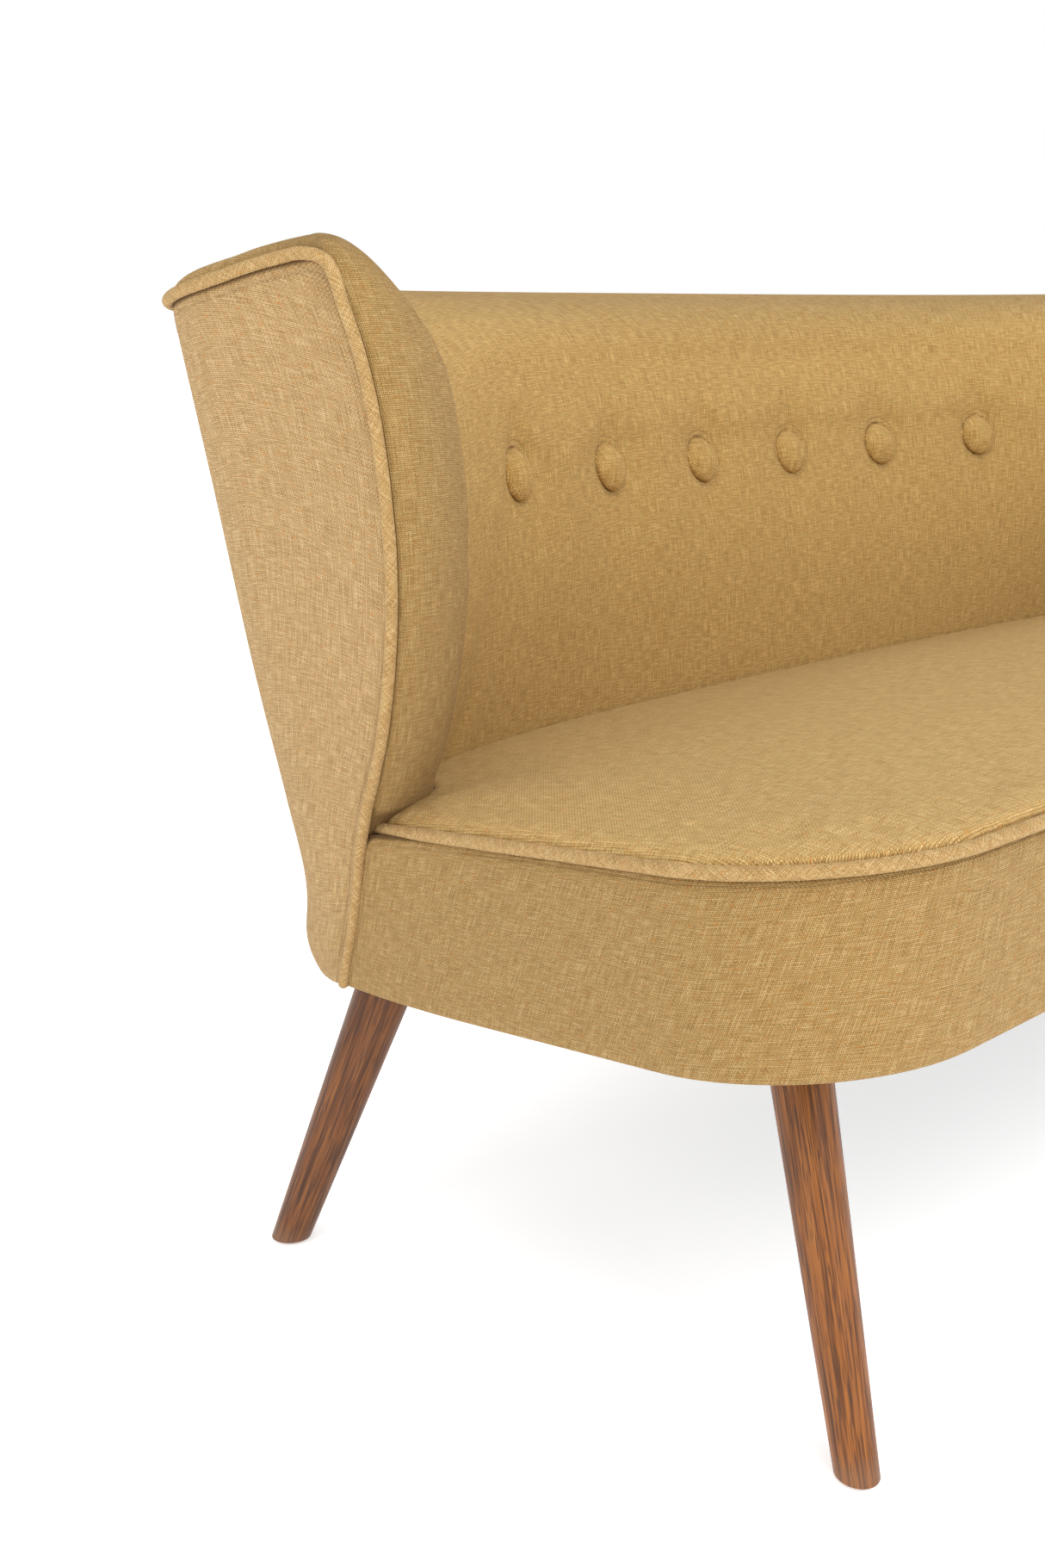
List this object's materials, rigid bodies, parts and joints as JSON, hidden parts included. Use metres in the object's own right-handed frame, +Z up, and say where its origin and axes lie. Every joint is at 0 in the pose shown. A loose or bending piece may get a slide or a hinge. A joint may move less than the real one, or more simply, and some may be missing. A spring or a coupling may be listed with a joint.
{
  "type": "cocktail sofa",
  "caption": "Compact mid-century sofa: wrap-around buttoned back with flared wings, crowned piped seat over a deep apron, and splayed tapered wooden legs",
  "frame": {"origin": "bottom centre of the bounding box, on the floor", "axes": "+Z up, the sofa faces -Y, +X to the right of a person looking at its front; X = 0 is its plane of symmetry"},
  "size_m": [1.6892, 0.762, 0.7674],
  "materials": {
    "outer_fabric": "slubby plain-weave linen-look cloth, camel, matt",
    "inner_fabric": "slubby plain-weave linen-look cloth, camel, matt",
    "piping_fabric": "self piping of the same plain-weave cloth",
    "button_fabric": "cloth-covered dome button",
    "leg_wood": "walnut-stained wood, satin, long straight grain",
    "frame_ply": "raw plywood",
    "hardboard": "thin raw hardboard",
    "foam": "open-cell upholstery foam",
    "lining_cloth": "black non-woven lining",
    "webbing": "woven elastic webbing and waxed twine",
    "steel": "zinc-plated steel",
    "anchor_plastic": "moulded plastic disc",
    "glide_nylon": "dark nylon"
  },
  "bodies": {
    "root": {"apron_board": "hardboard", "apron_cover": "outer_fabric", "apron_foam": "foam", "back_bottom_rail": "frame_ply", "back_foam": "foam", "back_lining": "lining_cloth", "back_piping": "piping_fabric", "back_posts": "frame_ply", "back_top_rail": "frame_ply", "back_webbing": "webbing", "base_blocks": "frame_ply", "base_cross_rail_left": "frame_ply", "base_cross_rail_right": "frame_ply", "base_lower_ring": "frame_ply", "base_upper_ring": "frame_ply", "button_1": "button_fabric", "button_2": "button_fabric", "button_3": "button_fabric", "button_4": "button_fabric", "button_5": "button_fabric", "button_6": "button_fabric", "button_7": "button_fabric", "button_anchors": "anchor_plastic", "button_twine": "webbing", "dust_cover": "lining_cloth", "frame_bolts": "steel", "glide_front_left": "glide_nylon", "glide_front_right": "glide_nylon", "glide_rear_left": "glide_nylon", "glide_rear_right": "glide_nylon", "hanger_bolts": "steel", "inner_back_cover": "inner_fabric", "leg_front_left": "leg_wood", "leg_front_right": "leg_wood", "leg_plate_front_left": "steel", "leg_plate_front_right": "steel", "leg_plate_rear_left": "steel", "leg_plate_rear_right": "steel", "leg_plate_screws": "steel", "leg_rear_left": "leg_wood", "leg_rear_right": "leg_wood", "outer_back_cover": "outer_fabric", "outer_back_panel": "hardboard", "seat_cover": "inner_fabric", "seat_foam": "foam", "seat_piping": "piping_fabric", "seat_webbing_front_to_back": "webbing", "seat_webbing_side_to_side": "webbing", "wing_board_left": "frame_ply", "wing_board_right": "frame_ply"}
  },
  "joints": []
}
